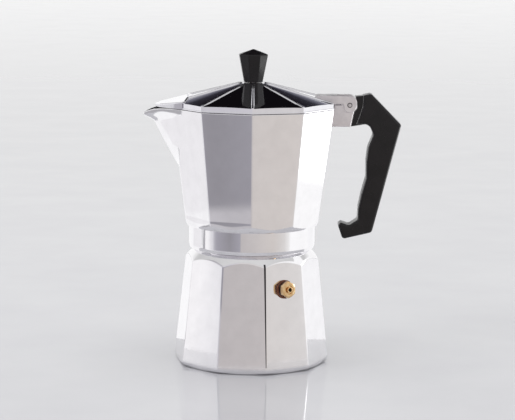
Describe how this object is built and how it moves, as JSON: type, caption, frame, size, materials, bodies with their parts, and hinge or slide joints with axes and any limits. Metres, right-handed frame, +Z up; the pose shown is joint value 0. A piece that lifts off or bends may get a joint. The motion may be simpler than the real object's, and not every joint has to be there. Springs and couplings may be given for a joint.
{
  "type": "stovetop moka pot",
  "caption": "Stovetop coffee maker: faceted boiler with relief valve, screwed collector with spout, hinged lid with knob, and side handle.",
  "frame": {"origin": "centre of the boiler's flat base, on the surface that it stands on", "axes": "+Z up along the pot's axis, +X towards the handle, -X towards the spout, +Y across the pot, away from the side that carries the valve"},
  "size_m": [0.1737, 0.1128, 0.2111],
  "materials": {
    "polished_aluminium": "mirror polished casting",
    "lid_aluminium": "mirror polished casting",
    "pressed_aluminium": "satin, pressed sheet",
    "cast_aluminium": "as cast, matt",
    "brass": "turned",
    "steel": "bright drawn",
    "black_plastic": "moulded, semi-gloss",
    "silicone": "matt",
    "fibre": "pressed fibre, matt"
  },
  "bodies": {
    "boiler": {"boiler": "polished_aluminium", "valve_seal": "fibre", "valve_body": "brass", "valve_cap": "brass", "valve_spring": "steel"},
    "relief_plunger": {"valve_plunger": "steel"},
    "funnel": {"funnel": "pressed_aluminium", "funnel_screen": "pressed_aluminium"},
    "gasket": {"gasket": "silicone"},
    "filter_plate": {"filter_plate": "pressed_aluminium"},
    "collector": {"collector": "polished_aluminium", "column": "cast_aluminium", "handle": "black_plastic", "hinge_pin": "steel"},
    "lid": {"lid": "lid_aluminium", "knob": "black_plastic", "knob_insert": "brass", "knob_screw": "steel", "knob_washer": "steel"}
  },
  "joints": [
    {"name": "relief_plunger_slide", "type": "slide", "parent": "boiler", "child": "relief_plunger", "axis": [0.4883, -0.8667, 0.1022], "range_m": [0, 0.0015], "stiffness_N_per_m": 900, "springref_m": -0.001, "deforming": ["valve_spring"]},
    {"name": "funnel_lift", "type": "slide", "parent": "boiler", "child": "funnel", "axis": [0, 0, 1], "range_m": [0, 0.085]},
    {"name": "collector_lift", "type": "slide", "parent": "funnel", "child": "gasket", "axis": [0, 0, 1], "range_m": [0, 0.04]},
    {"name": "collector_rise", "type": "slide", "parent": "gasket", "child": "filter_plate", "axis": [0, 0, 1], "range_m": [0, 0.0091]},
    {"name": "collector_turn", "type": "hinge", "parent": "filter_plate", "child": "collector", "pos_m": [0, 0, 0.086], "axis": [0, 0, 1], "range_deg": [0, 810]},
    {"name": "lid_hinge", "type": "hinge", "parent": "collector", "child": "lid", "pos_m": [0.0646, 0, 0.1748], "axis": [0, 1, 0], "range_deg": [0, 95]}
  ],
  "couplings": [
    {"joint": "collector_rise", "follows": "collector_turn", "m_per_rad": 0.00063662}
  ]
}
